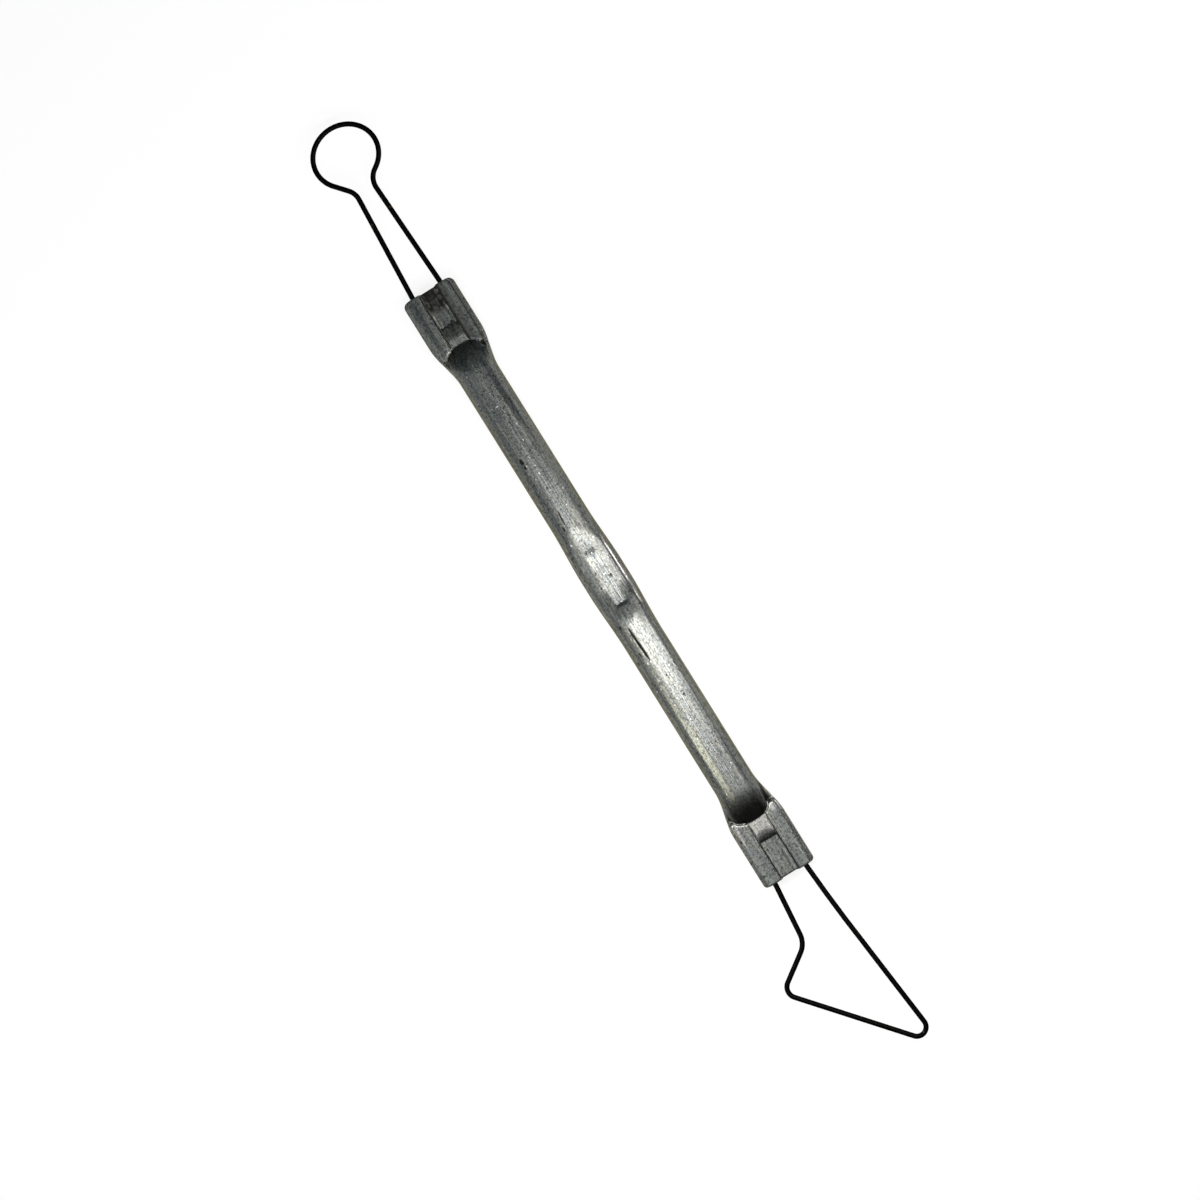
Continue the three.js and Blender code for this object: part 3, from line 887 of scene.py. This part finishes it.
# The round loop, seen from its own crimp: out along the near leg, round the loop, and back along
# the far leg. The two legs lean together to a neck.
loop_reach = round_mouth - wire_low.x - wire_radius
loop_length = 11.58 * mm
loop_width = wire_high.y - wire_low.y - 2 * wire_radius
loop_offset = (wire_high.y + wire_low.y) / 2
loop_near_lean = math.radians(2.25)
loop_far_lean = math.radians(3.59)
loop_near_shoulder = math.radians(34.2)
loop_far_shoulder = 2 * math.pi - math.radians(51.8)
loop_near_bend = 3.6 * mm
loop_far_bend = 3.29 * mm
loop_steps = 90


def loop_place(angle):
    """The place on the loop at an angle from its handle side."""
    x = loop_reach - loop_length / 2 * (1 + math.cos(angle))
    return x, loop_offset + loop_width / 2 * math.sin(angle)


def shoulder_corner(angle, leg_side, slope):
    """Where the loop's tangent at an angle meets the line of a leg that leans by a slope."""
    x, y = loop_place(angle)
    along, across = loop_length / 2 * math.sin(angle), loop_width / 2 * math.cos(angle)
    share = (leg_side + slope * x - y) / (across - slope * along)
    return x + share * along, y + share * across


round_leg = round_end["leg_side"]
near_corner = shoulder_corner(loop_near_shoulder, round_leg, -math.tan(loop_near_lean))
far_corner = shoulder_corner(loop_far_shoulder, -round_leg, math.tan(loop_far_lean))
turn_in = bent_path([
    (-leg_end, round_leg),
    (0, round_leg, mouth_bend),
    (*near_corner, loop_near_bend),
    loop_place(loop_near_shoulder),
])
turn_out = bent_path([
    loop_place(loop_far_shoulder),
    (*far_corner, loop_far_bend),
    (0, -round_leg, mouth_bend),
    (-leg_end, -round_leg),
])
round_part = [
    Vector((*loop_place(mix(loop_near_shoulder, loop_far_shoulder, i / loop_steps)), 0))
    for i in range(1, loop_steps)
]
round_path = [
    Vector((round_mouth - point.x, point.y, axis_height))
    for point in [*turn_in, *round_part, *turn_out]
]
finish_piece(
    sweep_wire(round_path), "round_wire_loop", wire_finish, "round_loop_wire"
)

# The three-cornered loop, by its corners: how far each reaches from the crimp's mouth, how far it
# lies to one side, and its bend. The long leg bows a little on its way to the toe.
angled_leg = angled_end["leg_side"]
angled_corners = [
    (-leg_end, angled_leg),
    (0, angled_leg, mouth_bend),
    (9.3 * mm, 4.0 * mm, 168 * mm),
    (42.05 * mm, 7.27 * mm, 1.76 * mm),
    (18.3 * mm, -13.11 * mm, 2.07 * mm),
    (12.4 * mm, -4.65 * mm, 4.26 * mm),
    (0, -angled_leg, mouth_bend),
    (-leg_end, -angled_leg),
]
angled_path = [
    Vector((angled_mouth + point.x, point.y, axis_height)) for point in bent_path(angled_corners)
]
finish_piece(
    sweep_wire(angled_path), "angled_wire_loop", wire_finish, "angled_loop_wire"
)

# A plain pale floor, a matt board under the tool. Most of what the camera and the metal see of it
# is its own even white, and the rest is lit, so that it keeps the tool's soft shadow.
floor_glow = 0.77
floor_white = 1.1
floor_half_size = 3.0
floor_mesh = bmesh.new()
bmesh.ops.create_grid(floor_mesh, x_segments=1, y_segments=1, size=floor_half_size)
floor_data = bpy.data.meshes.new("floor")
floor_mesh.to_mesh(floor_data)
floor_mesh.free()
floor = bpy.data.objects.new("floor", floor_data)
bpy.context.scene.collection.objects.link(floor)


def matt_board():
    material, tree = new_material("matt_white_board")
    lit = add(tree, "BsdfDiffuse", {"Color": colour("#f2f2f1")})
    even = add(tree, "Emission", {"Color": (1, 1, 1, 1), "Strength": floor_white})
    rays = add(tree, "LightPath", {}).node.outputs
    seen = add(tree, "Math", {
        0: rays["Is Camera Ray"], 1: rays["Is Glossy Ray"],
    }, operation="ADD")
    seen = add(tree, "Math", {
        0: seen, 1: rays["Is Transmission Ray"],
    }, operation="ADD", use_clamp=True)
    share = add(tree, "Math", {0: seen, 1: floor_glow}, operation="MULTIPLY")
    both = add(tree, "MixShader", {0: share, 1: lit, 2: even})
    add(tree, "OutputMaterial", {"Surface": both})
    return material


floor_data.materials.append(matt_board())

# A soft studio. Two sets of soft panels are bent over the tool's middle, from overhead down to the
# near side. A dim one hangs over the three-cornered loop's end, a warm and a pale one stand low on
# the far side, thin tubes of light run along the tool, and the room is pale beyond its two ends.
def soft_light(name, centre, length, width, tilt, distance, radiance, tint="#ffffff"):
    """An area light facing the tool's axis from a distance, tilted from overhead towards its near
    side (in degrees), with the given radiance as seen from the tool."""
    data = bpy.data.lights.new(name, "AREA")
    data.shape = "RECTANGLE"
    data.size, data.size_y = length, width
    data.energy = radiance * math.pi * length * width
    data.color = colour(tint)[:3]
    light = bpy.data.objects.new(name, data)
    bpy.context.scene.collection.objects.link(light)
    lean = math.radians(tilt)
    away = Vector((0, math.sin(lean), math.cos(lean))) * distance
    light.matrix_world = (
        Matrix.Translation(Vector((centre, 0, axis_height)) + away) @ Matrix.Rotation(-lean, 4, "X")
    )
    light.visible_camera = False


# Each bent set: its centre along the tool, its length and distance, and its panels' radiances.
bent_lights = (
    ("broad", 0.011, 0.045, 0.25, (1.2, 6.4, 6.0, 4.6)),
    ("narrow", 0.0165, 0.012, 0.12, (0.8, 8.0, 8.0, 4.6)),
)
panel_tilts = (-37, -5, 29, 65)
panel_half_angle = math.radians(18)
for name, centre, length, distance, radiances in bent_lights:
    width = 2 * distance * math.tan(panel_half_angle)
    for tilt, radiance in zip(panel_tilts, radiances):
        panel = f"{name}_light_{tilt}"
        soft_light(panel, centre, length, width, tilt, distance, radiance, "#fffaf9")

# The single lights: centre along the tool, length, width, tilt, distance and radiance.
soft_light("end_light", 0.12, 0.14, 0.25, 0, 0.3, 0.65)
soft_light("warm_light", 0.038, 0.01, 0.062, -45, 0.09, 8.6, "#fff8e1")
soft_light("far_side_light", 0.01, 0.26, 0.34, -58, 0.3, 0.52)
soft_light("tube_light_above", 0, 0.9, 0.008, 0, 0.6, 4.0)
soft_light("tube_light_near", 0, 0.9, 0.008, 43, 0.6, 4.0)
soft_light("tube_light_end", 0.05, 0.06, 0.008, 58, 0.3, 12.0)

zenith_radiance = 0.28
horizon_radiance = 0.13
end_radiance = 0.35
world = bpy.data.worlds.new("studio")
bpy.context.scene.world = world
world.use_nodes = True
room = world.node_tree
room.nodes.clear()
direction = add(room, "TexCoord", {}, output="Generated")
split = add(room, "SeparateXYZ", {"Vector": direction}).node.outputs
level = add(room, "MapRange", {
    "Value": split["Z"], "From Max": 0.8, "To Min": horizon_radiance, "To Max": zenith_radiance,
}, interpolation_type="SMOOTHSTEP")
endwise = add(room, "Math", {0: split["X"]}, operation="ABSOLUTE")
towards_end = add(room, "MapRange", {
    "Value": endwise, "From Min": 0.5, "From Max": 0.95, "To Max": end_radiance,
}, interpolation_type="SMOOTHSTEP")
low_down = add(room, "MapRange", {
    "Value": split["Z"], "From Min": 0.05, "From Max": 0.3, "To Min": 1.0, "To Max": 0.0,
}, interpolation_type="SMOOTHSTEP")
level = add(room, "Math", {0: towards_end, 1: low_down, 2: level}, operation="MULTIPLY_ADD")
sky = add(room, "Background", {"Color": colour("#e8f8f8"), "Strength": level})
add(room, "OutputWorld", {"Surface": sky})

# The camera looks almost straight down, from a little to the near side, with the tool running from
# the upper left to the lower right of a square picture.
camera_distance = 1.5
frame_width = 224.3 * mm
roll_towards_near = math.radians(7.5)
tool_right, tool_down = 0.529, 0.8486
look_offset = (2.92 * mm, -3.10 * mm)

along = Vector((1, 0, 0))
towards = Vector((0, math.sin(roll_towards_near), math.cos(roll_towards_near)))
aside = towards.cross(along)
picture_right = tool_right * along + tool_down * aside
picture_up = -tool_down * along + tool_right * aside
look_at = Vector((0, 0, axis_height)) + look_offset[0] * along + look_offset[1] * aside

camera_data = bpy.data.cameras.new("camera")
camera_data.lens = camera_data.sensor_width * camera_distance / frame_width
camera_data.clip_end = 20
camera = bpy.data.objects.new("camera", camera_data)
bpy.context.scene.collection.objects.link(camera)
turned = Matrix((picture_right, picture_up, towards)).transposed().to_4x4()
camera.matrix_world = Matrix.Translation(look_at + towards * camera_distance) @ turned
bpy.context.scene.camera = camera
bpy.context.scene.view_settings.view_transform = "Standard"
